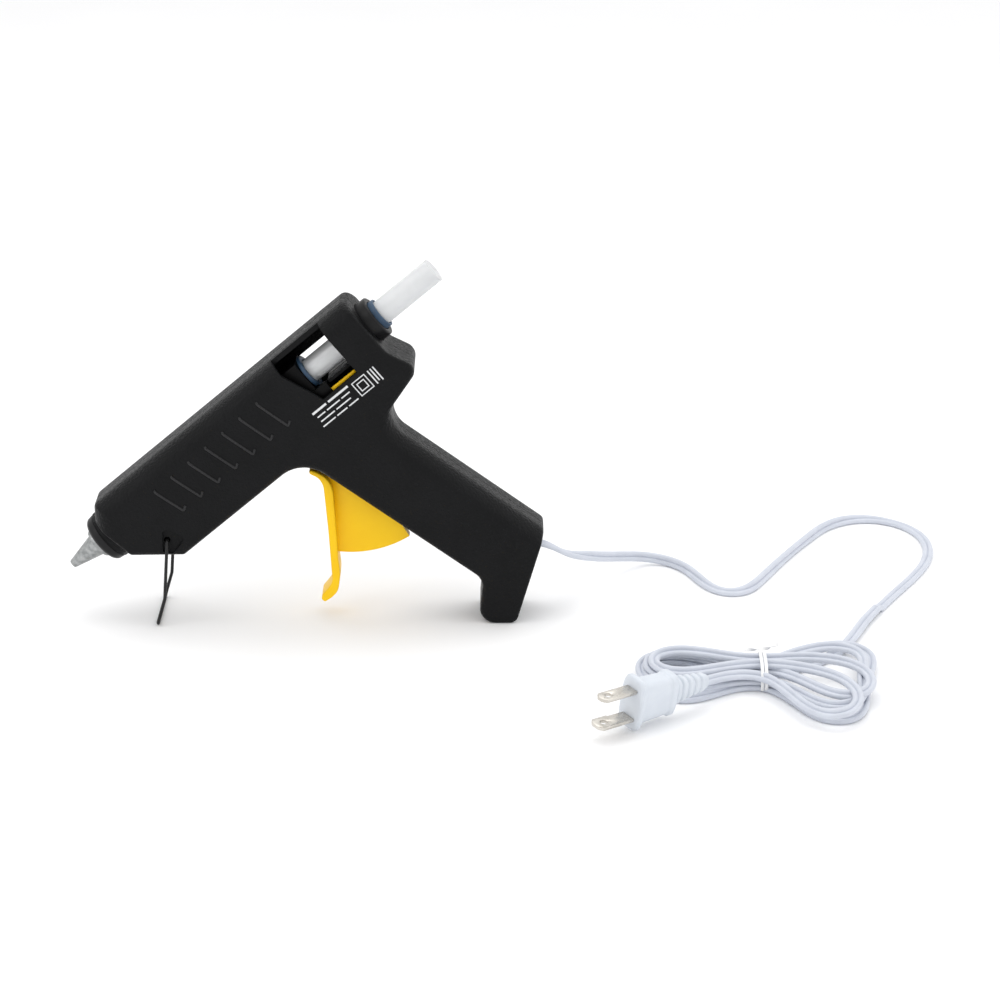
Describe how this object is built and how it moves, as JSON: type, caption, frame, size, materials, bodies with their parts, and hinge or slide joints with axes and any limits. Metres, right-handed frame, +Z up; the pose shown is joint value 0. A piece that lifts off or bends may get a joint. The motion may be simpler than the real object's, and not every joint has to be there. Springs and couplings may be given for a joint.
{
  "type": "glue gun",
  "caption": "Hot-melt glue gun with a trigger feed, folding wire stand, clear glue stick, side viewing window and a tied two-wire mains cord with plug.",
  "frame": {"origin": "On the table, below the centre of the gun without its cord: midway from nozzle tip to handle end and on the parting plane.", "axes": "+X from the nozzle towards the handle end, +Y towards the side the screws go in from, +Z up as it stands on its toe and wire stand."},
  "size_m": [0.3973, 0.2706, 0.1633],
  "materials": {
    "housing_left": "fine grain",
    "housing_right": "fine grain",
    "nose_ring": "satin",
    "nozzle": "turned",
    "valve_spring": "bright",
    "valve_ball": "polished",
    "melt_chamber": "cast",
    "heater_element": "ceramic",
    "heater_clip": "satin",
    "inlet_sleeve": "matte",
    "sleeve_clamp": "satin",
    "glue_stick": "clear",
    "carriage": "satin",
    "grip_ring": "matte",
    "feed_rail_left": "satin",
    "feed_rail_right": "satin",
    "return_spring": "bright",
    "rear_collar": "satin",
    "rear_insert": "matte",
    "trigger": "satin",
    "trigger_pin": "ground",
    "drive_pin": "ground",
    "wire_stand": "black",
    "body_screw_1": "zinc",
    "body_screw_2": "zinc",
    "body_screw_3": "zinc",
    "body_screw_4": "zinc",
    "body_screw_5": "zinc",
    "cord_grommet": "satin",
    "cord_clamp": "satin",
    "clamp_screw_1": "zinc",
    "clamp_screw_2": "zinc",
    "splice_line": "crimped",
    "splice_neutral": "crimped",
    "lead_line": "sleeved",
    "lead_neutral": "sleeved",
    "power_cord": "satin",
    "cord_hank": "satin",
    "cord_tie": "satin",
    "plug_body": "satin",
    "plug_blade_narrow": "nickel",
    "plug_blade_wide": "nickel"
  },
  "bodies": {
    "housing": {"housing_left": "housing_left", "housing_right": "housing_right", "nose_ring": "nose_ring", "nozzle": "nozzle", "valve_spring": "valve_spring", "melt_chamber": "melt_chamber", "heater_element": "heater_element", "heater_clip": "heater_clip", "inlet_sleeve": "inlet_sleeve", "sleeve_clamp": "sleeve_clamp", "return_spring": "return_spring", "rear_collar": "rear_collar", "rear_insert": "rear_insert", "trigger_pin": "trigger_pin", "body_screw_1": "body_screw_1", "body_screw_2": "body_screw_2", "body_screw_3": "body_screw_3", "body_screw_4": "body_screw_4", "body_screw_5": "body_screw_5", "cord_grommet": "cord_grommet", "cord_clamp": "cord_clamp", "clamp_screw_1": "clamp_screw_1", "clamp_screw_2": "clamp_screw_2", "splice_line": "splice_line", "splice_neutral": "splice_neutral", "lead_line": "lead_line", "lead_neutral": "lead_neutral", "power_cord": "power_cord", "cord_hank": "cord_hank", "cord_tie": "cord_tie", "plug_body": "plug_body", "plug_blade_narrow": "plug_blade_narrow", "plug_blade_wide": "plug_blade_wide"},
    "trigger": {"trigger": "trigger", "drive_pin": "drive_pin"},
    "carriage": {"carriage": "carriage", "grip_ring": "grip_ring", "feed_rail_left": "feed_rail_left", "feed_rail_right": "feed_rail_right"},
    "glue_stick": {"glue_stick": "glue_stick"},
    "stand": {"wire_stand": "wire_stand"},
    "valve": {"valve_ball": "valve_ball"}
  },
  "joints": [
    {"name": "trigger_pull", "type": "hinge", "parent": "housing", "child": "trigger", "pos_m": [0.01977, 0, 0.078], "axis": [0, -1, 0], "range_deg": [0, 22], "stiffness_Nm_per_rad": 0.4, "springref_deg": -8.59},
    {"name": "carriage_feed", "type": "slide", "parent": "housing", "child": "carriage", "axis": [-0.766, 0, -0.6428], "range_m": [0, 0.00995], "deforming": ["return_spring"]},
    {"name": "stick_feed", "type": "slide", "parent": "carriage", "child": "glue_stick", "axis": [0.766, 0, 0.6428], "range_m": [0, 0.155]},
    {"name": "stand_fold", "type": "hinge", "parent": "housing", "child": "stand", "pos_m": [-0.06098, 0, 0.03935], "axis": [0, -1, 0], "range_deg": [0, 115]},
    {"name": "valve_lift", "type": "slide", "parent": "housing", "child": "valve", "axis": [-0.766, 0, -0.6428], "range_m": [0, 0.0008], "stiffness_N_per_m": 120, "springref_m": -0.001, "deforming": ["valve_spring"]}
  ],
  "couplings": [
    {"joint": "carriage_feed", "follows": "trigger_pull", "m_per_rad": 0.02584}
  ]
}
